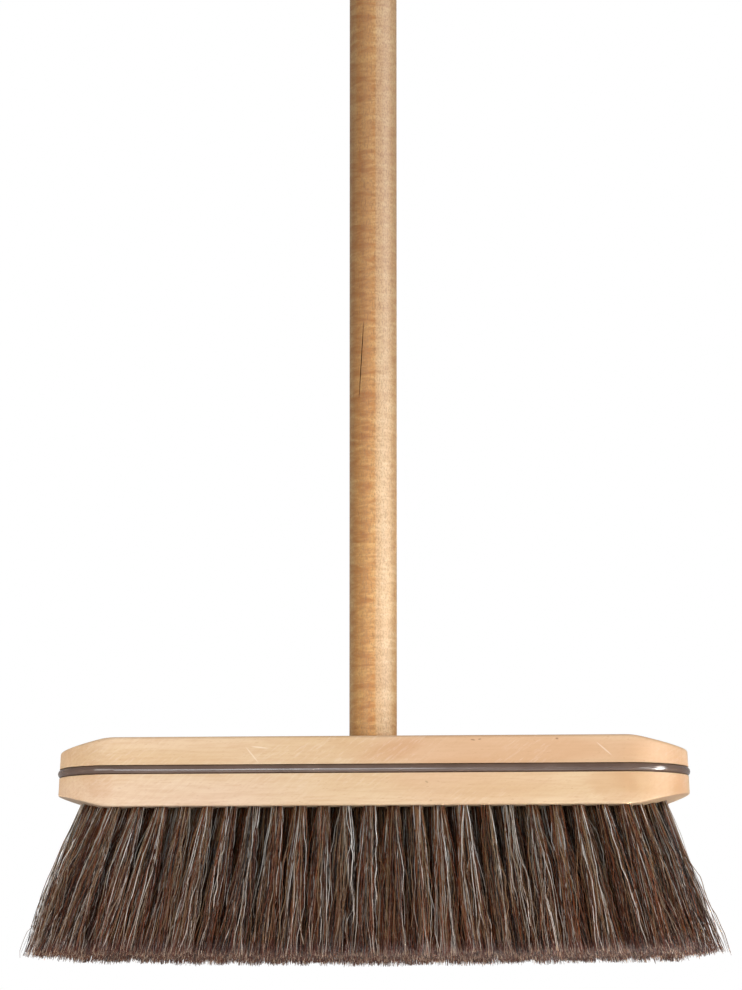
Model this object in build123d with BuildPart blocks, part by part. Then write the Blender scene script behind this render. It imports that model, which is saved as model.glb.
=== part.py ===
"""Wooden push broom: a bumpered block set with horsehair tufts, on a straight round handle.

Millimetres. X runs along the block, Y from front to back and Z up the handle. The origin is on the
floor, under the middle of the block, with the trimmed hair standing on Z = 0.
"""

import os
from math import cos, floor, radians, tan

from build123d import *

# Block
block_length = 320.0
block_depth = 64.0
block_height = 35.0
side_draft = 3.0  # degrees, every side leans in towards the top
trim_height = 76.5  # floor to the underside of the block
top_bevel_length = 28.0
top_bevel_drop = 6.2
base_bevel_length = 26.0
base_bevel_rise = 7.4
bevel_blend = 38.0  # radius where a bevel meets the flat
top_rim_radius = 1.6
base_rim_radius = 1.0

# Bumper cord and its groove
cord_diameter = 4.5
cord_proud = 0.8  # how far the cord stands out of the block
cord_below_top = 16.5  # middle of the cord to the top of the block
cord_clearance = 0.1
cord_butt_gap = 0.3  # between the cord's two ends, at the back

# Handle, with a tenon on its foot, and the socket for it
handle_diameter = 24.0
handle_length = 1300.0  # with the tenon
handle_dome_radius = 10.0
tenon_shoulder = 0.5  # how much thinner the tenon is, each side
tenon_end_gap = 0.5  # below the tenon, so that the shoulder seats first
tenon_chamfer = 1.5
socket_web = 3.5  # wood left between the socket and the tufts' holes
socket_clearance = 0.05

# Fixing screw, through the back of the block into the handle
screw_length = 28.0
screw_shank_length = 9.0
screw_thread_diameter = 3.5
screw_core_diameter = 2.4
screw_thread_pitch = 1.4
screw_root_start = 0.3  # share of a pitch down to the core
screw_root_end = 0.6  # share of a pitch down to where the core ends
screw_tip_length = 3.0
screw_head_diameter = 7.0
screw_recess_span = 3.8
screw_recess_width = 0.9
screw_recess_depth = 1.6
screw_recess_taper = 12.0  # degrees
screw_clearance = 0.05

# Hair tufts: staggered rows, each one tuft shorter than the row inside it
tuft_pitch = 11.6
tuft_end_margin = 14.0  # bare wood beyond the last hole of the middle row, to its centre
tuft_side_margin = 6.8  # bare wood in front of the front row, to its centre
side_rows = 3  # rows on each side of the middle one
hole_diameter = 5.5
hole_depth = 12.0
hole_clearance = 0.05
end_lean = 16.5  # degrees outwards at the ends of the middle row
side_lean = 13.0  # degrees outwards in the front and back rows
tuft_gap = 0.6  # between neighbouring tufts at the floor
sleeve = 1.5  # straight hair below the mouth of the hole, before it fans out

# Anchor wires: one flat wire driven across each hole pins its tuft
anchor_bite = 0.5  # into the wood, each side
anchor_width = 1.6
anchor_thickness = 0.45
anchor_from_hole_end = 2.4  # hair folded over the wire

# Places that the sizes above lead to
base_level = trim_height
top_level = base_level + block_height
cord_level = top_level - cord_below_top
cord_radius = cord_diameter / 2
groove_radius = cord_radius + cord_clearance
socket_floor = base_level + hole_depth + socket_web
tenon_radius = handle_diameter / 2 - tenon_shoulder
tenon_length = top_level - socket_floor - tenon_end_gap
screw_level = (cord_level + groove_radius + top_level - top_rim_radius) / 2
half_length = block_length / 2
root_radius = hole_diameter / 2 - hole_clearance
row_pitch = (block_depth / 2 - tuft_side_margin) / side_rows
middle_row_tufts = floor((block_length - 2 * tuft_end_margin) / tuft_pitch) + 1
half_span = (middle_row_tufts - 1) * tuft_pitch / 2
anchor_length = hole_diameter + 2 * anchor_bite
anchor_offset = hole_depth - anchor_from_hole_end

rows = range(-side_rows, side_rows + 1)
overshoot = 2.0  # how far a cut starts outside the surface that it opens
steepest_wall = 0.2  # upward part of a wall's direction; flats and bevels have more


def draft_inset(level):
    """How far the block's sides have drawn in at a level."""
    return (level - base_level) * tan(radians(side_draft))


def underside_level(x):
    """Level of the block's underside, which rises towards both ends."""
    into_bevel = max(0.0, abs(x) - (half_length - base_bevel_length))
    return base_level + base_bevel_rise * into_bevel / base_bevel_length


def tuft_places(row):
    """A plane at the mouth of each hole of a row, with its Z up the hole, along the tuft's lean."""
    count = middle_row_tufts - abs(row)
    places = []
    for index in range(count):
        x = (index - (count - 1) / 2) * tuft_pitch
        lean_x = radians(end_lean * x / half_span)
        lean_y = radians(side_lean * row / side_rows)
        mouth = (x, row * row_pitch, underside_level(x))
        up_the_hole = (-tan(lean_x), -tan(lean_y), 1)
        along_the_row = (1, 0, tan(lean_x))
        places.append(Plane(origin=mouth, x_dir=along_the_row, z_dir=up_the_hole))
    return places


def band_path(inset, gap):
    """Line round the block at the cord's level, from the middle of the back, with a gap there."""
    radius = block_depth / 2 - draft_inset(cord_level) - inset
    straight = (block_length - block_depth) / 2
    with BuildLine(Plane.XY.offset(cord_level)) as path:
        start = Line((-gap / 2, radius), (-straight, radius))
        left = TangentArc((start @ 1), (-straight, -radius), tangent=start % 1)
        front = Line((left @ 1), (straight, -radius))
        right = TangentArc((front @ 1), (straight, radius), tangent=front % 1)
        Line((right @ 1), (gap / 2, radius))
    return path.wires()[0]


def across(path):
    """Plane square to a path at its start, with X pointing out of the block."""
    return Plane(origin=path @ 0, x_dir=(0, 1, 0), z_dir=path % 0)


def write(piece, label):
    piece.part.label = label
    export_step(piece.part, f"parts/{label}.step")


os.makedirs("parts", exist_ok=True)

# Hair tufts and their anchor wires --------------------------------------------------------------
# A tuft fills its hole, then fans out to the floor, where it stops just short of its neighbours.
floor_spread = 1 + trim_height * tan(radians(end_lean)) / half_span
tip_radius = (tuft_pitch * floor_spread - tuft_gap) / 2 * cos(radians(end_lean))
longest_hair = (trim_height + base_bevel_rise) / cos(radians(end_lean)) / cos(radians(side_lean))
fan_slope = (tip_radius - root_radius) / (longest_hair - sleeve)
blank_length = longest_hair + tip_radius

with BuildPart() as tuft_blank:
    with BuildSketch(Plane.XZ):
        Polygon(
            (0, hole_depth),
            (root_radius, hole_depth),
            (root_radius, -sleeve),
            (root_radius + fan_slope * (blank_length - sleeve), -blank_length),
            (0, -blank_length),
            align=None,
        )
    revolve(axis=Axis.Z)

anchor_rows = []
for row in rows:
    number = row + side_rows + 1
    with BuildPart() as anchor_wires:
        with Locations(*tuft_places(row)):
            with Locations((0, 0, anchor_offset)):
                Box(anchor_length, anchor_width, anchor_thickness)
    write(anchor_wires, f"anchor_wires_row_{number}")
    anchor_rows.append(anchor_wires)

    with BuildPart() as hair_tufts:
        with Locations(*tuft_places(row)):
            add(tuft_blank.part)
        add(anchor_wires.part, mode=Mode.SUBTRACT)
        split(bisect_by=Plane.XY, keep=Keep.TOP)
    write(hair_tufts, f"hair_tufts_row_{number}")

# Bumper cord ------------------------------------------------------------------------------------
cord_path = band_path(cord_radius - cord_proud, cord_butt_gap)
with BuildPart() as bumper_cord:
    with BuildSketch(across(cord_path)):
        Circle(cord_radius)
    sweep(path=cord_path)
write(bumper_cord, "bumper_cord")

# Fixing screw -----------------------------------------------------------------------------------
# Drawn pointing down from a flat head at Z = 0, then placed in the back of the block.
core_radius = screw_core_diameter / 2
crest_radius = screw_thread_diameter / 2
head_radius = screw_head_diameter / 2
thread_end = screw_length - screw_tip_length
ridges = floor((thread_end - screw_shank_length) / screw_thread_pitch)

with BuildPart() as screw_blank:
    with BuildSketch(Plane.XZ):
        with BuildLine():
            corners = [(0, 0), (head_radius, 0), (crest_radius, crest_radius - head_radius)]
            corners.append((crest_radius, -screw_shank_length))
            for ridge in range(ridges):
                root = -screw_shank_length - ridge * screw_thread_pitch
                corners.append((core_radius, root - screw_thread_pitch * screw_root_start))
                corners.append((core_radius, root - screw_thread_pitch * screw_root_end))
                corners.append((crest_radius, root - screw_thread_pitch))
            corners.append((core_radius, -thread_end))
            corners.append((0, -screw_length))
            Polyline(*corners, close=True)
        make_face()
    revolve(axis=Axis.Z)
    with BuildSketch(Plane.XY):
        with PolarLocations(0, 2, angular_range=180):
            Rectangle(screw_recess_span, screw_recess_width)
    extrude(amount=-screw_recess_depth, taper=screw_recess_taper, mode=Mode.SUBTRACT)

# The head sits flush where the drafted back is furthest in.
head_face = block_depth / 2 - draft_inset(screw_level + head_radius)
screw_place = Plane(origin=(0, head_face, screw_level), x_dir=(1, 0, 0), z_dir=(0, 1, 0))
with BuildPart() as handle_screw:
    with Locations(screw_place):
        add(screw_blank.part)
write(handle_screw, "handle_screw")

screw_hole_radius = crest_radius + screw_clearance
screw_hole_depth = screw_length + screw_clearance

# Handle -----------------------------------------------------------------------------------------
with BuildPart() as handle:
    with BuildSketch(Plane.XY.offset(top_level)):
        Circle(handle_diameter / 2)
    extrude(amount=handle_length - tenon_length)
    fillet(handle.edges().sort_by(Axis.Z)[-1], handle_dome_radius)
    with BuildSketch(Plane.XY.offset(top_level)):
        Circle(tenon_radius)
    extrude(amount=-tenon_length)
    chamfer(handle.edges().sort_by(Axis.Z)[0], tenon_chamfer)
    with Locations(screw_place):
        Hole(screw_hole_radius, screw_hole_depth)
write(handle, "handle")

# Block ------------------------------------------------------------------------------------------
with BuildPart() as head_block:
    with BuildSketch(Plane.XY.offset(base_level)):
        SlotOverall(block_length, block_depth)
    extrude(amount=block_height, taper=side_draft)

    # Bevelled ends, cut from an elevation drawn wider than the block.
    top_slope = top_bevel_drop / top_bevel_length
    base_slope = base_bevel_rise / base_bevel_length
    wide = half_length + overshoot
    with BuildSketch(Plane.XZ) as elevation:
        Polygon(
            (0, base_level),
            (half_length - base_bevel_length, base_level),
            (wide, base_level + base_slope * (base_bevel_length + overshoot)),
            (wide, top_level - top_slope * (top_bevel_length + overshoot)),
            (half_length - top_bevel_length, top_level),
            (0, top_level),
            align=None,
        )
        fillet(elevation.vertices().filter_by(lambda v: 0 < v.X < half_length), bevel_blend)
        mirror(about=Plane.YZ)
    extrude(amount=block_depth, both=True, mode=Mode.INTERSECT)

    # Rounded rims, above and below the drafted walls.
    for above, radius in ((True, top_rim_radius), (False, base_rim_radius)):
        walls = head_block.faces().filter_by(lambda f: abs(f.normal_at().Z) < steepest_wall)
        rims = walls.edges().filter_by(lambda e: e.bounding_box().size.Z < block_height / 2)
        fillet([e for e in rims if (e.center().Z > cord_level) == above], radius)

    # Groove for the cord: a round floor with straight sides out to the surface.
    groove_path = band_path(cord_radius - cord_proud, 0)
    with BuildSketch(across(groove_path)):
        Circle(groove_radius)
        Rectangle(cord_diameter, 2 * groove_radius, align=(Align.MIN, Align.CENTER))
    sweep(path=groove_path, mode=Mode.SUBTRACT)

    # Tuft holes, and the slits that the anchor wires cut across them.
    places = [place for row in rows for place in tuft_places(row)]
    with Locations(*places):
        with Locations((0, 0, -overshoot)):
            Cylinder(
                hole_diameter / 2,
                hole_depth + overshoot,
                align=(Align.CENTER, Align.CENTER, Align.MIN),
                mode=Mode.SUBTRACT,
            )
    for anchor_wires in anchor_rows:
        add(anchor_wires.part, mode=Mode.SUBTRACT)

    # Handle socket and screw hole.
    with Locations((0, 0, top_level)):
        Hole(tenon_radius + socket_clearance, top_level - socket_floor)
    with Locations(screw_place):
        CounterSinkHole(screw_hole_radius, head_radius + screw_clearance, block_depth / 2, 90)
write(head_block, "head_block")
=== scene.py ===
"""Looks of a wooden push broom: a pale beech block with a brown bumper cord round it, tufts of
mixed horsehair, and a round stick of oiled, curly-figured wood.

Metres, in the part's own frame: X along the block, Y from front to back, Z up the stick.
"""

from math import cos, pi, radians, sin, sqrt

import bmesh
import bpy
import numpy as np
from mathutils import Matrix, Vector


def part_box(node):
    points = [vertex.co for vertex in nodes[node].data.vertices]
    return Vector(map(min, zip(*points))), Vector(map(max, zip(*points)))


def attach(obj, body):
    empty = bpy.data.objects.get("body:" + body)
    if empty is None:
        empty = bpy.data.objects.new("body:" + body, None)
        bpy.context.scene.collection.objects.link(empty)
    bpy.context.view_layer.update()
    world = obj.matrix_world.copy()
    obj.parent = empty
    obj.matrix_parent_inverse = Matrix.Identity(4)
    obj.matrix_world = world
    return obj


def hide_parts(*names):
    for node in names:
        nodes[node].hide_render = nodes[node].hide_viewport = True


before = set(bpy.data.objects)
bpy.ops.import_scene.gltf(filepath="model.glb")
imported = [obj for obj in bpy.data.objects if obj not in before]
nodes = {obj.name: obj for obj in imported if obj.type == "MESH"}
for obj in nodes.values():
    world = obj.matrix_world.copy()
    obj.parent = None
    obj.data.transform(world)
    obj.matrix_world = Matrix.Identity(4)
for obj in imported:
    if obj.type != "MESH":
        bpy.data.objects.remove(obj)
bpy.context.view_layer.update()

draw = np.random.default_rng(11)
MM = 0.001

# Hair
HAIR_ROWS = 7
HOLE_DEPTH = 12 * MM
ROOT_INSIDE = 2.5 * MM  # how far up its hole a hair starts
HAIR_SIDES = 3
HAIR_RADII = (0.12, 0.25)  # the thinnest and the thickest, in mm
OUTER_HAIR = (165, 12)  # hairs in a tuft, and rings of corners along each hair
NEXT_HAIR = (130, 10)
INNER_HAIR = (120, 9)
LOOSE_HAIR = (26, 26)  # on the outside of the outer tufts, kinked and crossing the others
WAVES = ((0.9, 0.75), (2.1, 0.42), (3.9, 0.20))  # cycles along a hair, and their size in mm
LOOSE_WAVES = ((0.9, 0.9), (2.3, 0.45), (5.0, 0.22), (9.0, 0.10))
FAN_CURVE = 1.12  # above 1, hair spreads more the farther down it is
END_SPLAYS = (-5.0, -2.5, 1.3, 2.0)  # mm along the block, for the two tufts at each end of a row
TONES = (1.15, 1.38)  # the two shapes of a beta distribution, from dark to pale
LOOSE_TONES = (2.2, 1.5)
PALE_SHARE = 0.045
MAP_STEP = 1 / 512  # the finest step that the hair's colour map is read at

# Hairs gather in locks, which share a place in the tuft, a drift, a bow, a tone and a cut
LOCKS_IN_TUFT = 8
LOCK_REACH = 0.70  # of the tuft's radius
LOCK_WIDTH = 0.5
LOCK_DRIFT = 1.7 * MM
LOCK_BOW = 1.1 * MM
LOCK_TONE = 0.10
LOCK_CUT = 2.6 * MM
TUFT_TONE = 0.04
HAIR_DRIFT = 1.2 * MM
HAIR_BOW = 0.5 * MM

# Strays and broken hairs: their shares in a tuft, and among the loose hair
STRAY_SHARES = (0.03, 0.25)
BROKEN_SHARES = (0.05, 0.35)
BROKEN_LENGTHS = (0.35, 0.98)
STRAY_DRIFT = 1.8 * MM
STRAY_BOW = 1.0 * MM
STRAY_WILDNESS = 1.6

# Trim of the hair at the floor
TRIM_LEVEL = -0.3 * MM
TRIM_REACH = 1.4 * MM
TRIM_BIAS = 1.6
LEAN_LIFT = 0.7  # share of the height that hair loses by leaning

# How closely corners of the CAD tufts are told apart
WELD = 0.005 * MM
FLOOR_REACH = 0.01 * MM
RIM_REACH = 0.3 * MM

# Block
BLOCK_FRONT = -0.031
PATCH_DEPTH = 0.03
MARK_DEPTH = 0.006
SCRATCH_WIDTH = 0.42 * MM
BLOCK_RELIEF = 0.00006

# Stick
STICK_WIDTH = 0.024
STICK_SIDES = 96
GROWTH_WANDER = 0.0016
FINE_RELIEF = 0.00005  # the bumper cord's as well
TENON_LENGTH = 19 * MM
TENON_RADIUS = 11.5 * MM
DOME_RADIUS = 10 * MM
DOME_STEPS = 12

# Drying crack in the front of the stick: (left or right, up) of its two ends
CRACK_ENDS = ((-4.0 * MM, 325 * MM), (-6.6 * MM, 283 * MM))
CRACK_WIDTH = 0.42 * MM
CRACK_DEPTH = 1.6 * MM

# Camera
CAMERA_REACH = 3.0
CAMERA_LEVEL = -0.155
CAMERA_SIDE = radians(3.9)
CAMERA_AIM = (-0.0011, 0, 0.2367)
LENS = 216.6
SENSOR = 36.0
FARTHEST = 50

# Studio
COOL, WARM, AMBER = (0.86, 0.93, 1), (1, 0.88, 0.7), (1, 0.80, 0.58)
FLOOR_SIZE = 12
FLOOR_LEVEL = -0.0002
FILL = {"From Min": -0.5, "From Max": 0.6, "To Min": 0.42, "To Max": 0.30}


def srgb(red, green, blue):
    """A colour from its 0 to 255 screen values, as the linear one that shaders take."""
    shares = [value / 255 for value in (red, green, blue)]
    linear = [s / 12.92 if s <= 0.04045 else ((s + 0.055) / 1.055) ** 2.4 for s in shares]
    return (*linear, 1.0)


# Painting -------------------------------------------------------------------------------------


class Value:
    """A number that varies over a surface. Arithmetic on it adds Math nodes."""

    def __init__(self, paint, socket):
        self.paint = paint
        self.socket = socket

    def math(self, operation, *values):
        return self.paint.node("Math", {"operation": operation}, dict(enumerate(values)))

    def __add__(self, other):
        return self.math("ADD", self, other)

    def __sub__(self, other):
        return self.math("SUBTRACT", self, other)

    def __rsub__(self, other):
        return self.math("SUBTRACT", other, self)

    def __mul__(self, other):
        return self.math("MULTIPLY", self, other)

    def __abs__(self):
        return self.math("ABSOLUTE", self)

    __radd__ = __add__
    __rmul__ = __mul__

    def between(self, low, high):
        """0 up to low, 1 from high on, and smooth from one to the other."""
        steps = {"interpolation_type": "SMOOTHSTEP"}
        return self.paint.node("MapRange", steps, {0: self, 1: low, 2: high})


class Paint:
    """A material in the making, on the object's own coordinates."""

    def __init__(self, name, **constants):
        self.material = bpy.data.materials.new(name)
        self.material.use_nodes = True
        self.tree = self.material.node_tree
        self.shader = self.tree.nodes["Principled BSDF"]
        self.place = self.node("TexCoord", output="Object")
        for socket, value in constants.items():
            self.feed(self.shader.inputs[socket.replace("_", " ")], value)

    def feed(self, socket, value):
        if isinstance(value, Value):
            self.tree.links.new(value.socket, socket)
        else:
            socket.default_value = value

    def node(self, kind, settings=None, sockets=None, output=0):
        """Adds a node. Its settings come first, then the values or links of its sockets."""
        made = self.tree.nodes.new("ShaderNode" + kind)
        settings = dict(settings or {})
        stops = settings.pop("stops", ())
        for name, value in settings.items():
            setattr(made, name, value)
        for _ in stops[2:]:
            made.color_ramp.elements.new(1.0)
        for element, (position, colour) in zip(made.color_ramp.elements if stops else (), stops):
            element.position = position
            element.color = colour
        for name, value in (sockets or {}).items():
            self.feed(made.inputs[name], value)
        return Value(self, made.outputs[output])

    def axis(self, name):
        return self.node("SeparateXYZ", {}, {0: self.place}, output=name)

    def noise(self, cycles, detail=2.0, distortion=0.0, shift=(0, 0, 0)):
        """Cloudy noise about 0.5, with a number of cycles per metre along each axis."""
        place = self.node("Mapping", {}, {"Vector": self.place, "Scale": cycles, "Location": shift})
        sockets = {"Vector": place, "Scale": 1.0, "Detail": detail, "Distortion": distortion}
        return self.node("TexNoise", {}, sockets)

    def ramp(self, amount, stops):
        return self.node("ValToRGB", {"stops": stops}, {0: amount})

    def mix(self, amount, under, over, how="MIX"):
        """Lays one colour over another by an amount."""
        settings = {"data_type": "RGBA", "blend_type": how}
        return self.node("Mix", settings, {0: amount, 6: under, 7: over}, output=2)

    def bump(self, height, depth):
        return self.node("Bump", {}, {"Height": height, "Distance": depth, "Strength": 1.0})

    def spot(self, centre, size, turn=0.0):
        """1 inside an oval on the block or stick, and 0 outside it."""
        oval = {"Location": centre, "Rotation": (0, turn, 0), "Scale": size}
        inside = self.node("Mapping", {"vector_type": "TEXTURE"}, {"Vector": self.place, **oval})
        reach = self.node("VectorMath", {"operation": "LENGTH"}, {0: inside}, output="Value")
        return 1 - reach.between(0.55, 1.0)

    def finish(self, **links):
        for socket, value in links.items():
            self.feed(self.shader.inputs[socket.replace("_", " ")], value)
        return self.material


def beech():
    """Pale steamed beech, sanded and waxed, with its grain along the block."""
    paint = Paint("beech", Specular_IOR_Level=0.35)
    broad = paint.noise((7, 30, 45), detail=3.0, distortion=0.6)
    colour = paint.ramp(
        broad,
        [
            (0.30, srgb(220, 183, 139)),
            (0.48, srgb(227, 194, 153)),
            (0.62, srgb(233, 203, 165)),
            (0.75, srgb(226, 190, 148)),
        ],
    )
    # Pinker and yellower patches, a hand's breadth long.
    patch = paint.noise((11, 11, 26), detail=1.0, shift=(3, 1, 2)).between(0.42, 0.65)
    colour = paint.mix(0.4 * patch, colour, srgb(234, 199, 169))
    # The lower left is pinker, and so are some ovals of the front.
    pinker = (1 - paint.axis("Z").between(0.085, 0.096)) * (1 - paint.axis("X").between(-0.09, 0.0))
    colour = paint.mix(0.5 * pinker, colour, srgb(237, 208, 184))
    for x, z, wide, high, how, turn in (
        (60, 104, 85, 12, 0.75, 0.0),
        (8, 102, 24, 6, 0.5, -0.35),
        (50, 88, 55, 14, 0.35, 0.0),
        (122, 86, 16, 11, 0.4, 0.3),
        (148, 96, 32, 26, 0.5, 0.0),
        (-137, 90, 14, 9, 0.45, 0.9),
        (156, 84, 7, 12, 0.6, 0.0),
    ):
        size = (wide * MM, PATCH_DEPTH, high * MM)
        zone = paint.spot((x * MM, BLOCK_FRONT, z * MM), size, turn)
        colour = paint.mix(how * zone, colour, srgb(240, 222, 208), "MULTIPLY")
    # Fibres, and the short dark flecks that beech has on every face.
    fibre = paint.noise((70, 900, 900), detail=3.0)
    colour = paint.mix(0.34 * (1 - fibre.between(0.30, 0.62)), colour, srgb(212, 168, 128))
    fleck = paint.noise((380, 2400, 2400), detail=1.0).between(0.66, 0.74)
    colour = paint.mix(0.36 * fleck, colour, srgb(196, 144, 106))
    # Sanding left slanting strokes in the finish.
    sockets = {"Vector": paint.place, "Rotation": (0, -0.66, 0), "Scale": (0.007, 0.007, 0.0011)}
    slant = paint.node("Mapping", {"vector_type": "TEXTURE"}, sockets)
    sanded = {"Vector": slant, "Scale": 1.0, "Detail": 4.0, "Roughness": 0.65, "Distortion": 0.35}
    stroke = paint.node("TexNoise", {}, sanded)
    bare = paint.noise((16, 16, 40), detail=1.0, shift=(9, 4, 1)).between(0.40, 0.62)
    colour = paint.mix(0.26 * bare * stroke.between(0.50, 0.68), colour, srgb(244, 222, 200))
    colour = paint.mix(0.16 * (1 - stroke.between(0.34, 0.50)), colour, srgb(212, 168, 128))
    # End grain takes up more finish.
    end = abs(paint.axis("X")).between(0.132, 0.159)
    growth_and_side_shade = paint.noise((900, 500, 24), detail=2.0, distortion=0.5)
    colour = paint.mix(0.30 * end * growth_and_side_shade.between(0.4, 0.7), colour, srgb(214, 164, 122))
    # Small marks: nicks by the top edge, a pin knot, and light scratches.
    for x, z, wide, high, how, turn in (
        (52.0, 109.0, 1.4, 0.45, 0.6, 0.2),
        (55.4, 109.3, 1.0, 0.4, 0.6, -0.2),
        (94.0, 109.4, 0.9, 0.55, 0.6, 0.1),
        (28.9, 88.0, 1.1, 0.55, 0.35, 0.5),
        (31.0, 78.6, 0.8, 0.4, 0.35, 0.0),
        (-62.0, 96.0, 0.9, 0.3, 0.35, 0.0),
    ):
        size = (wide * MM, MARK_DEPTH, high * MM)
        mark = paint.spot((x * MM, BLOCK_FRONT, z * MM), size, turn)
        colour = paint.mix(how * mark, colour, srgb(140, 92, 60))
    for x, z, long, turn in (
        (117.5, 104.2, 6.0, 0.72),
        (-58.6, 102.0, 6.0, 0.89),
        (-54.9, 105.8, 5.0, 0.12),
    ):
        size = (long * MM, MARK_DEPTH, SCRATCH_WIDTH)
        scratch = paint.spot((x * MM, BLOCK_FRONT, z * MM), size, turn)
        colour = paint.mix(0.45 * scratch, colour, srgb(255, 236, 216))
    rough = 0.44 + 0.14 * fibre
    height = fibre * 0.6 + stroke * 0.4
    return paint.finish(Base_Color=colour, Roughness=rough, Normal=paint.bump(height, BLOCK_RELIEF))


def oiled_stick():
    """Curly-figured oiled wood: bands across the grain, painted shade that darkens it the higher
    up, and painted side shading and sheen across its front.
    """
    paint = Paint("oiled_stick", Specular_IOR_Level=0.7)
    curl = paint.noise((75, 75, 300), detail=2.0, distortion=0.8)
    fine_curl = paint.noise((240, 240, 900), detail=3.0, distortion=0.6, shift=(5, 2, 0))
    figure = 0.55 * curl + 0.45 * fine_curl
    colour = paint.ramp(
        figure,
        [
            (0.34, srgb(206, 149, 91)),
            (0.47, srgb(223, 174, 118)),
            (0.56, srgb(232, 187, 134)),
            (0.68, srgb(244, 206, 157)),
        ],
    )
    # Long streaks up the grain, warm where the oil went in.
    streak = paint.noise((210, 210, 5), detail=2.0, distortion=0.3)
    colour = paint.mix(0.30 * streak.between(0.48, 0.66), colour, srgb(240, 206, 160), "MULTIPLY")
    colour = paint.mix(0.26 * (1 - streak.between(0.34, 0.5)), colour, srgb(238, 212, 174))
    # Across the front, painted side shading: darker and greyer towards the left edge and a little
    # darker at the right edge, with the golden figure left of a pale painted sheen just right of
    # the middle.
    waver = paint.noise((10, 10, 14), detail=1.0)
    across = (paint.axis("X") + GROWTH_WANDER * (waver - 0.5)) * (1 / STICK_WIDTH) + 0.5
    growth_and_side_shade = paint.ramp(
        across,
        [
            (0.04, srgb(216, 214, 199)),
            (0.11, srgb(213, 204, 182)),
            (0.21, srgb(234, 217, 176)),
            (0.32, srgb(230, 207, 158)),
            (0.43, srgb(241, 216, 168)),
            (0.56, srgb(252, 245, 222)),
            (0.61, srgb(253, 255, 255)),
            (0.74, srgb(246, 250, 250)),
            (0.86, srgb(250, 255, 255)),
            (0.94, srgb(236, 238, 232)),
        ],
    )
    # Left of the middle keeps the warm figure; right of it lies the painted sheen.
    left_of_sheen = 1 - across.between(0.56, 0.61)
    colour = paint.mix(0.28 * left_of_sheen * (1 - curl.between(0.36, 0.48)), colour, srgb(206, 136, 66))
    colour = paint.mix(0.18 * curl.between(0.54, 0.64), colour, srgb(248, 218, 164))
    # Painted sheen: a pale strip right of the middle, where the light glances off the round.
    painted_sheen = (1 - left_of_sheen) * (1 - across.between(0.88, 0.95))
    colour = paint.mix(0.40 * painted_sheen, colour, srgb(236, 202, 160))
    # The painted side shading is multiplied in over everything.
    colour = paint.mix(1.0, colour, growth_and_side_shade, "MULTIPLY")
    # Pores: short dark dashes along the grain.
    pore = paint.noise((1700, 1700, 260), detail=1.0).between(0.62, 0.70)
    colour = paint.mix(0.34 * pore, colour, srgb(140, 90, 50))
    grain = paint.noise((1300, 1300, 900), detail=3.0)
    colour = paint.mix(0.5 * (1 - grain.between(0.34, 0.56)), colour, srgb(176, 126, 78))
    # Painted shade: darker the higher up, where less light reaches it.
    painted_upper_shade = paint.axis("Z").between(0.16, 0.42)
    colour = paint.mix(painted_upper_shade, colour, srgb(220, 214, 210), "MULTIPLY")
    rough = 0.42 + 0.2 * grain
    height = grain * 0.5 + pore * -0.6 + curl * 0.5
    return paint.finish(Base_Color=colour, Roughness=rough, Normal=paint.bump(height, FINE_RELIEF))


def painted_crack_shade():
    """Painted shade: dark colour for the walls down inside the drying crack, where shade falls."""
    paint = Paint("painted_crack_shade", Roughness=0.9, Specular_IOR_Level=0.1)
    shade_mottle = paint.noise((900, 900, 300), detail=2.0)
    colour = paint.ramp(shade_mottle, [(0.3, srgb(38, 22, 12)), (0.7, srgb(74, 44, 26))])
    return paint.finish(Base_Color=colour)


def bumper_rubber():
    """Brown extruded rubber, shiny, with a slight wander from being pushed into its groove."""
    paint = Paint("bumper_rubber", Specular_IOR_Level=1.0)
    cloud = paint.noise((60, 60, 60), detail=3.0)
    colour = paint.ramp(cloud, [(0.35, srgb(98, 76, 64)), (0.65, srgb(110, 88, 76))])
    scuff = paint.noise((260, 700, 900), detail=3.0).between(0.58, 0.74)
    colour = paint.mix(0.12 * scuff, colour, srgb(150, 130, 118))
    wander = paint.noise((22, 22, 60), detail=1.0)
    skin = paint.noise((900, 900, 900), detail=2.0)
    rough = 0.13 + 0.12 * scuff + 0.05 * skin
    height = wander * 12.0 + skin * 0.07
    return paint.finish(Base_Color=colour, Roughness=rough, Normal=paint.bump(height, FINE_RELIEF))


def screw_steel():
    """Zinc-plated steel, a little dulled."""
    paint = Paint("screw_steel", Metallic=1.0)
    bloom = paint.noise((700, 700, 700), detail=4.0)
    colour = paint.ramp(bloom, [(0.35, srgb(150, 148, 142)), (0.65, srgb(196, 194, 188))])
    return paint.finish(Base_Color=colour, Roughness=0.28 + 0.3 * bloom)


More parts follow.
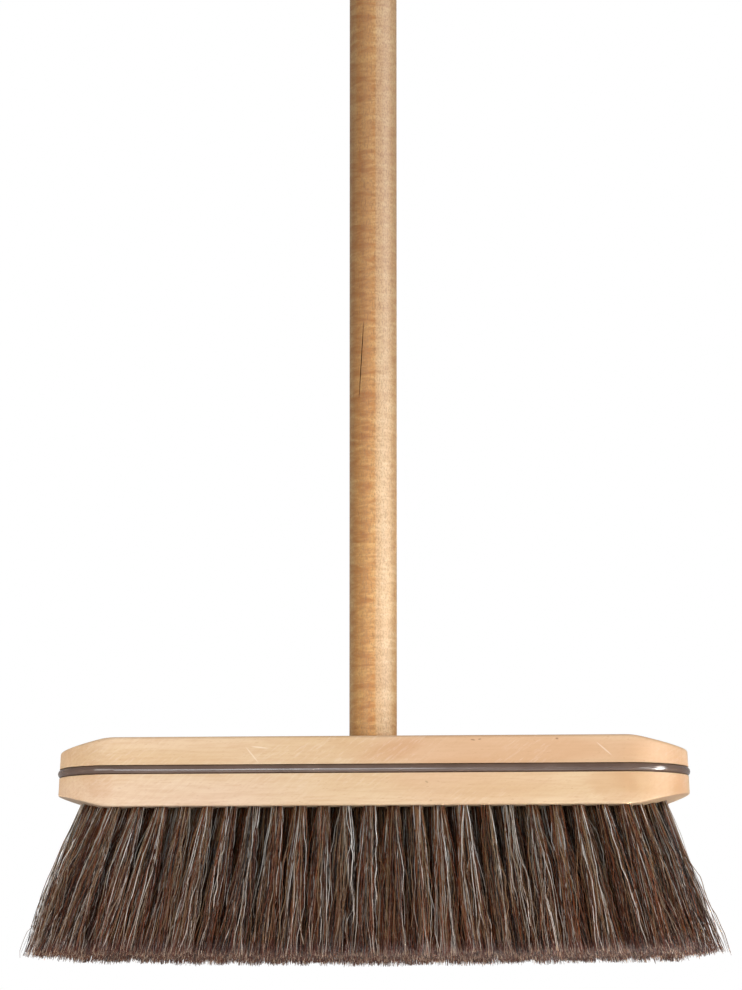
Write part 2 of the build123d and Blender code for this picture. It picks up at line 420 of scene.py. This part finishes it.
def horsehair():
    """Mixed horsehair. Each hair has its own tone across the map, and lies up along it."""
    paint = Paint("horsehair", Specular_IOR_Level=0.5, Roughness=0.34)
    place = paint.node("UVMap", {"uv_map": "OFBake"})
    tone = paint.node("SeparateXYZ", {}, {0: place}, output="X")
    along = paint.node("SeparateXYZ", {}, {0: place}, output="Y")
    # Painted glints: pale beads along each hair, where the light would catch its kinks.
    spread = paint.node("Mapping", {}, {"Vector": place, "Scale": (300, 34, 1)})
    painted_glint = paint.node("TexNoise", {}, {"Vector": spread, "Scale": 1.0, "Detail": 2.0})
    # And its tone drifts from root to tip.
    shift = {"Scale": (260, 3.5, 1), "Location": (7, 3, 0)}
    shade = paint.node("Mapping", {}, {"Vector": place, **shift})
    drift = paint.node("TexNoise", {}, {"Vector": shade, "Scale": 1.0, "Detail": 1.0})
    colour = paint.ramp(
        tone + 0.4 * (drift - 0.5),
        [
            (0.00, srgb(26, 18, 13)),
            (0.20, srgb(50, 30, 18)),
            (0.36, srgb(98, 46, 20)),
            (0.50, srgb(136, 74, 34)),
            (0.62, srgb(116, 84, 54)),
            (0.74, srgb(150, 118, 82)),
            (0.86, srgb(160, 146, 128)),
            (1.00, srgb(236, 234, 230)),
        ],
    )
    colour = paint.mix(0.42 * painted_glint.between(0.57, 0.70), colour, srgb(196, 192, 186))
    # Redder where it has been worn and washed. Painted shade: all but the pale hairs darken towards
    # their cut ends, down among the dense tips.
    colour = paint.mix(0.5 * along.between(0.25, 0.85), colour, srgb(255, 228, 210), "MULTIPLY")
    dark_hair = 1 - tone.between(0.80, 0.90)
    painted_tip_shade = 0.9 * dark_hair * along.between(0.88, 0.96)
    colour = paint.mix(painted_tip_shade, colour, srgb(196, 142, 112), "MULTIPLY")
    # Some of the cut ends are split and pale, partly painted light where light from below catches
    # them, and then all the cut ends are made warmer and a little darker.
    each = paint.node("Mapping", {}, {"Vector": place, "Scale": (900, 2, 1), "Location": (3, 9, 0)})
    odd = paint.node("TexNoise", {}, {"Vector": each, "Scale": 1.0, "Detail": 0.0})
    split_and_lit_ends = along.between(0.978, 0.99) * odd.between(0.60, 0.65)
    colour = paint.mix(0.95 * split_and_lit_ends, colour, srgb(255, 238, 216))
    colour = paint.mix(along.between(0.94, 0.985), colour, srgb(250, 229, 209), "MULTIPLY")
    return paint.finish(Base_Color=colour)


# Meshes ---------------------------------------------------------------------------------------


def wear(piece, *materials):
    """Gives a piece these materials in place of its own, and lets it ride with the broom."""
    piece.data.materials.clear()
    for material in materials:
        piece.data.materials.append(material)
    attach(piece, "root")


def paint_node(name, material):
    for place in nodes[name].material_slots:
        place.material = material


def solids_of(name):
    """The corners of each separate solid in a CAD node, from left to right."""
    mesh = bmesh.new()
    mesh.from_mesh(nodes[name].data)
    bmesh.ops.remove_doubles(mesh, verts=mesh.verts, dist=WELD)
    left = set(mesh.verts)
    solids = []
    while left:
        found = [left.pop()]
        for vertex in found:
            near = {edge.other_vert(vertex) for edge in vertex.link_edges} & left
            left -= near
            found.extend(near)
        solids.append(np.array([vertex.co for vertex in found]))
    mesh.free()
    return sorted(solids, key=lambda corners: corners[:, 0].mean())


def tuft_line(corners):
    """The centre of a tuft's root, the centre of its trimmed end, and the radii there."""
    trimmed = corners[corners[:, 2] < FLOOR_REACH]
    end = trimmed.mean(0)
    reach = np.linalg.norm(corners - end, axis=1)
    rim = corners[reach > reach.max() - RIM_REACH]
    root = rim.mean(0)
    root_radius = np.linalg.norm(rim - root, axis=1).max()
    return root, end, root_radius, np.abs((trimmed - end)[:, 1]).max()


def disc(count):
    """Points spread evenly over a disc of radius 1."""
    turn = draw.uniform(0, 2 * pi, count)
    reach = np.sqrt(draw.uniform(0, 1, count))
    return np.stack([reach * np.cos(turn), reach * np.sin(turn)], 1)


def kinks(along, count, wild, waves):
    """Sideways waves of each hair, none at its root, in two directions across it."""
    rise = np.minimum(1, along * 3)[..., None]
    total = 0
    for cycles, height in waves:
        phase = draw.uniform(0, 2 * pi, (count, 1, 2))
        turns = 2 * pi * cycles * draw.uniform(0.75, 1.25, (count, 1, 1))
        swing = draw.normal(0, height * MM, (count, 1, 2)) * wild[:, None, None]
        total = total + swing * np.sin(turns * along[..., None] + phase)
    return total * rise


def grow_tuft(corners, count, rings, splay, loose=False):
    """One tuft's hairs: the corners of their tubes, and their tones."""
    root, end, root_radius, end_radius = tuft_line(corners)
    down = (end - root) / np.linalg.norm(end - root)
    side = np.cross(down, (0, 1, 0))
    side /= np.linalg.norm(side)
    ahead = np.cross(side, down)
    mouth = root + HOLE_DEPTH * down
    length = np.linalg.norm(end - mouth)

    lock_spot = LOCK_REACH * disc(LOCKS_IN_TUFT)
    lock_drift = draw.normal(0, LOCK_DRIFT, (LOCKS_IN_TUFT, 2))
    lock_bow = draw.normal(0, LOCK_BOW, (LOCKS_IN_TUFT, 2))
    lock_tone = draw.normal(0, LOCK_TONE, LOCKS_IN_TUFT) + draw.normal(0, TUFT_TONE)
    lock_cut = draw.uniform(0, LOCK_CUT, LOCKS_IN_TUFT)
    lock = draw.integers(0, LOCKS_IN_TUFT, count)
    start = lock_spot[lock] + LOCK_WIDTH * disc(count)
    if loose:
        turn = draw.uniform(0, 2 * pi, count)
        start = np.stack([np.cos(turn), np.sin(turn)], 1)
    start *= np.minimum(1, 0.97 / np.linalg.norm(start, axis=1))[:, None]
    finish = 0.96 * start * end_radius + lock_drift[lock] + draw.normal(0, HAIR_DRIFT, (count, 2))
    start = start * root_radius

    # A few strays wander off, and some of those are broken short.
    stray = draw.random(count) < STRAY_SHARES[loose]
    finish[stray] += draw.normal(0, STRAY_DRIFT, (stray.sum(), 2))
    bow = lock_bow[lock] + draw.normal(0, HAIR_BOW, (count, 2))
    bow[stray] += draw.normal(0, STRAY_BOW, (stray.sum(), 2))
    finish[:, 0] += splay * draw.uniform(0.0, 1.0, count)
    bow[:, 0] += splay * draw.uniform(0.0, 0.5, count)
    cut = np.ones(count)
    short = draw.random(count) < BROKEN_SHARES[loose]
    cut[short] = draw.uniform(*BROKEN_LENGTHS, short.sum())

    along = np.linspace(0, 1, rings)
    t = cut[:, None] * along
    fan = (t**FAN_CURVE)[..., None]
    off = start[:, None] * (1 - fan) + finish[:, None] * fan
    off += bow[:, None] * np.sin(pi * t)[..., None]
    wild = np.where(stray, STRAY_WILDNESS, 1.0)
    off += kinks(t, count, wild, LOOSE_WAVES if loose else WAVES)
    depth = -ROOT_INSIDE + (length + ROOT_INSIDE) * t
    line = mouth + depth[..., None] * down + off[..., :1] * side + off[..., 1:] * ahead

    # Trimmed straight before it spread, so hair that leans out along the block stands higher.
    lifted = length * (1 - np.cos(np.arctan2(abs(down[0]), abs(down[2]))))
    ragged = TRIM_REACH * draw.random(count) ** TRIM_BIAS
    trim = TRIM_LEVEL + lock_cut[lock] + ragged + LEAN_LIFT * lifted
    want = np.where(short, line[:, -1, 2], trim)
    line[..., 2] += (want - line[:, -1, 2])[:, None] * t / cut[:, None]

    thick = draw.uniform(*HAIR_RADII, (count, 1)) * MM
    radius = thick * np.interp(along, (0, 0.9, 1), (1.0, 1.0, 0.6))
    tone = draw.beta(*TONES, count) + lock_tone[lock]
    if loose:
        tone = draw.beta(*LOOSE_TONES, count)
    pale = draw.random(count) < PALE_SHARE
    tone[pale] = draw.uniform(0.9, 1.0, pale.sum())

    corner_turn = np.arange(HAIR_SIDES) * 2 * pi / HAIR_SIDES
    turn = draw.uniform(0, 2 * pi, (count, 1, 1)) + corner_turn
    out = np.cos(turn)[..., None] * side + np.sin(turn)[..., None] * ahead
    return line[:, :, None] + radius[:, :, None, None] * out, np.clip(tone, 0, 1)


def tubes(points, tones, first):
    """Corner numbers of the walls and ends of a batch of hairs, and each corner's map place."""
    count, rings, sides, _ = points.shape
    corner = np.arange(rings * sides).reshape(rings, sides)
    around = np.roll(corner, -1, axis=1)
    walls = np.stack([corner[:-1], around[:-1], around[1:], corner[1:]], -1).reshape(-1, 4)
    ends = np.array([corner[0][::-1], corner[-1]])
    step = first + np.arange(count)[:, None, None] * rings * sides
    # A hair lies on the map as a narrow upright strip, at the place of its tone.
    strip = np.array([-1.2, 1.2, 0]) * MAP_STEP
    across = 2 * MAP_STEP + (1 - 4 * MAP_STEP) * tones
    u = np.broadcast_to(across[:, None, None] + strip, (count, rings, sides))
    v = np.broadcast_to(np.linspace(0.005, 0.995, rings)[:, None], (count, rings, sides))
    places = np.stack([u, v], -1).reshape(-1, 2)
    return (walls + step).reshape(-1), (ends + step).reshape(-1), places


def hair_mesh(name, batches):
    """One closed tube for each hair of several tufts."""
    firsts = np.cumsum([0] + [len(points.reshape(-1, 3)) for points, _ in batches])
    parts = [tubes(points, tones, first) for (points, tones), first in zip(batches, firsts)]
    walls, ends, places = (np.concatenate(part) for part in zip(*parts))
    points = np.concatenate([points.reshape(-1, 3) for points, _ in batches])
    loops = np.concatenate([walls, ends])
    sizes = np.repeat([4, HAIR_SIDES], [len(walls) // 4, len(ends) // HAIR_SIDES])

    mesh = bpy.data.meshes.new(name)
    mesh.vertices.add(len(points))
    mesh.vertices.foreach_set("co", points.reshape(-1).astype(np.float32))
    mesh.loops.add(len(loops))
    mesh.loops.foreach_set("vertex_index", loops.astype(np.int32))
    mesh.polygons.add(len(sizes))
    mesh.polygons.foreach_set("loop_start", (np.cumsum(sizes) - sizes).astype(np.int32))
    mesh.update(calc_edges=True)
    layer = mesh.uv_layers.new(name="OFBake")
    layer.uv.foreach_set("vector", places[loops].reshape(-1).astype(np.float32))
    mesh.shade_smooth()
    return mesh


def make_hair(material):
    for row in range(1, HAIR_ROWS + 1):
        node = f"hair_tufts_row_{row}"
        tufts = solids_of(node)
        half = len(tufts) // 2
        from_edge = min(row - 1, HAIR_ROWS - row)
        count, rings = (OUTER_HAIR, NEXT_HAIR, INNER_HAIR, INNER_HAIR)[from_edge]
        # The last tufts of a row have nothing beyond them, and splay out.
        splays = np.zeros(len(tufts))
        splays[[0, 1, -2, -1]] = np.array(END_SPLAYS) * MM
        for name, part in (("left", slice(0, half)), ("right", slice(half, None))):
            batches = []
            for corners, splay in zip(tufts[part], splays[part]):
                batches.append(grow_tuft(corners, count, rings, splay))
                if from_edge == 0 or splay:
                    batches.append(grow_tuft(corners, *LOOSE_HAIR, splay, loose=True))
            mesh = hair_mesh(f"hair_row_{row}_{name}", batches)
            piece = bpy.data.objects.new(mesh.name, mesh)
            bpy.context.scene.collection.objects.link(piece)
            wear(piece, material)
            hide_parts(node)


def extrude_to(shift, scale, centre):
    """Pulls the open end of a turned shape along, then widens or narrows it."""
    bpy.ops.mesh.extrude_region_move(TRANSFORM_OT_translate={"value": (0, 0, shift)})
    bpy.ops.transform.resize(value=(scale, scale, 1), center_override=centre)


def make_stick(skin, crack):
    """The stick: tenon, shoulder, a long round length and a domed end, with a drying crack."""
    (_, _, foot), (radius, _, top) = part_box("handle")
    bpy.ops.object.select_all(action="DESELECT")
    bpy.ops.mesh.primitive_circle_add(
        vertices=STICK_SIDES, radius=TENON_RADIUS, fill_type="NGON", location=(0, 0, foot)
    )
    stick = bpy.context.object
    stick.name = "stick"
    bpy.ops.object.transform_apply()
    bpy.ops.object.mode_set(mode="EDIT")
    bpy.ops.mesh.select_all(action="SELECT")
    level, width = foot, TENON_RADIUS
    shoulder, dome_foot = foot + TENON_LENGTH, top - DOME_RADIUS
    outline = [(shoulder, TENON_RADIUS), (shoulder, radius), (dome_foot, radius)]
    for step in range(1, DOME_STEPS + 1):
        turn = 0.5 * pi * step / DOME_STEPS
        outline.append(
            (top - DOME_RADIUS * (1 - sin(turn)), radius - DOME_RADIUS * (1 - cos(turn)))
        )
    for next_level, next_width in outline:
        extrude_to(next_level - level, next_width / width, (0, 0, next_level))
        level, width = next_level, next_width
    bpy.ops.mesh.select_all(action="SELECT")
    bpy.ops.mesh.normals_make_consistent(inside=False)
    bpy.ops.object.mode_set(mode="OBJECT")
    wear(stick, skin)

    # The crack is cut by a thin spindle that follows the grain, a little off upright.
    (left, high), (right, low) = CRACK_ENDS
    across = (left + right) / 2
    middle = (across, -sqrt(radius**2 - across**2), (high + low) / 2)
    long = sqrt((left - right) ** 2 + (high - low) ** 2)
    bpy.ops.object.select_all(action="DESELECT")
    bpy.ops.mesh.primitive_uv_sphere_add(
        segments=24, ring_count=32, radius=0.5, location=middle,
        rotation=(0, (left - right) / long, 0), scale=(CRACK_WIDTH, 2 * CRACK_DEPTH, long),
    )
    spindle = bpy.context.object
    bpy.ops.object.transform_apply()
    # The cut walls take the painted crack shade.
    spindle.data.materials.append(crack)
    stick.data.materials.append(crack)
    cut = stick.modifiers.new("crack", "BOOLEAN")
    cut.object = spindle
    cut.solver = "EXACT"
    cut.material_mode = "TRANSFER"
    bpy.ops.object.select_all(action="DESELECT")
    bpy.context.view_layer.objects.active = stick
    stick.select_set(True)
    bpy.ops.object.modifier_apply(modifier=cut.name)
    bpy.data.objects.remove(spindle)
    bpy.ops.object.shade_smooth_by_angle(angle=radians(30))
    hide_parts("handle")


# Studio ---------------------------------------------------------------------------------------


def aim(thing, at):
    thing.rotation_euler = (Vector(at) - thing.location).to_track_quat("-Z", "Y").to_euler()


def softbox(name, place, at, size, power, colour=(1, 1, 1), spread=pi, sheen_only=False):
    """A rectangular lamp of some watts. A narrow spread makes it a beam."""
    light = bpy.data.lights.new(name, "AREA")
    light.spread = spread
    light.shape = "RECTANGLE"
    light.size, light.size_y = size
    light.energy = power
    light.color = colour
    lamp = bpy.data.objects.new(name, light)
    lamp.location = place
    lamp.visible_diffuse = not sheen_only
    aim(lamp, at)
    bpy.context.scene.collection.objects.link(lamp)


def make_studio():
    world = bpy.data.worlds.new("studio")
    bpy.context.scene.world = world
    world.use_nodes = True
    tree = world.node_tree
    behind = tree.nodes.new("ShaderNodeBackground")
    behind.inputs["Color"].default_value = (1, 1, 1, 1)
    behind.inputs["Strength"].default_value = 1.0
    # The room is brighter below than above, as over a white sweep.
    fill = tree.nodes["Background"]
    fill.inputs["Color"].default_value = (1, 1, 1, 1)
    place = tree.nodes.new("ShaderNodeTexCoord")
    apart = tree.nodes.new("ShaderNodeSeparateXYZ")
    level = tree.nodes.new("ShaderNodeMapRange")
    for socket, value in FILL.items():
        level.inputs[socket].default_value = value
    tree.links.new(place.outputs["Generated"], apart.inputs[0])
    tree.links.new(apart.outputs["Z"], level.inputs["Value"])
    tree.links.new(level.outputs[0], fill.inputs["Strength"])
    rays = tree.nodes.new("ShaderNodeLightPath")
    choose = tree.nodes.new("ShaderNodeMixShader")
    tree.links.new(rays.outputs["Is Camera Ray"], choose.inputs[0])
    tree.links.new(fill.outputs[0], choose.inputs[1])
    tree.links.new(behind.outputs[0], choose.inputs[2])
    tree.links.new(choose.outputs[0], tree.nodes["World Output"].inputs["Surface"])

    softbox("right_softbox", (1.87, -1.17, 0.42), (0, 0, 0.2), (1.5, 1.3), 4)
    softbox("right_strip", (2.05, -0.79, 0.62), (0, 0, 0.25), (0.55, 1.0), 21)
    softbox("right_sheen", (2.05, -0.79, -0.9), (0, 0, 0.1), (0.8, 1.6), 80, sheen_only=True)
    softbox("left_softbox", (-1.1, -1.9, 0.2), (0, 0, 0.15), (1.2, 1.2), 15)
    softbox("low_right", (1.3, -1.6, -0.8), (0.1, 0, 0.08), (0.8, 0.6), 10)
    softbox("low_strip", (-0.21, -1.5, -0.33), (-0.05, 0, 0.09), (0.30, 0.55), 2.6, COOL)
    softbox("under_sweep", (0.25, -0.3, -1.3), (0, 0, 0), (1.6, 1.2), 5)
    # Two narrow beams warm the ends of the block.
    softbox(
        "right_under", (1.2, -0.5, -1.0), (0.16, 0, 0.06), (0.2, 0.2), 0.03, WARM, spread=0.12
    )
    softbox(
        "left_end", (-1.9, -0.9, 0.05), (-0.20, 0, 0.08), (0.1, 0.1), 0.014, AMBER, spread=0.07
    )
    softbox("small_window", (-0.04, -3.6, 0.36), (0.05, 0, 0.09), (0.14, 0.3), 0.5)

    # The floor shows from above and is open from below, and it doesn't shade the broom.
    bpy.ops.object.select_all(action="DESELECT")
    bpy.ops.mesh.primitive_plane_add(size=FLOOR_SIZE, location=(0, 0, FLOOR_LEVEL))
    floor = bpy.context.object
    floor.name = "floor"
    paint = Paint("floor", Base_Color=srgb(244, 244, 242), Roughness=0.9, Emission_Strength=0.4)
    back = paint.node("NewGeometry", output="Backfacing")
    clear = paint.node("BsdfTransparent", output="BSDF")
    shown = Value(paint, paint.shader.outputs["BSDF"])
    surface = paint.node("MixShader", {}, {0: back, 1: shown, 2: clear}, output="Shader")
    paint.tree.links.new(surface.socket, paint.tree.nodes["Material Output"].inputs["Surface"])
    floor.data.materials.append(paint.material)
    for ray in ("diffuse", "glossy", "transmission", "shadow"):
        setattr(floor, "visible_" + ray, False)


def make_camera():
    lens = bpy.data.cameras.new("camera")
    lens.lens = LENS
    lens.sensor_width = SENSOR
    lens.clip_end = FARTHEST
    camera = bpy.data.objects.new("camera", lens)
    camera.location = (
        CAMERA_REACH * sin(CAMERA_SIDE), -CAMERA_REACH * cos(CAMERA_SIDE), CAMERA_LEVEL
    )
    aim(camera, CAMERA_AIM)
    bpy.context.scene.collection.objects.link(camera)
    bpy.context.scene.camera = camera
    bpy.context.scene.view_settings.view_transform = "Standard"


make_camera()
make_studio()
paint_node("head_block", beech())
paint_node("bumper_cord", bumper_rubber())
steel = screw_steel()
paint_node("handle_screw", steel)
for row in range(1, HAIR_ROWS + 1):
    paint_node(f"anchor_wires_row_{row}", steel)
make_stick(oiled_stick(), painted_crack_shade())
make_hair(horsehair())
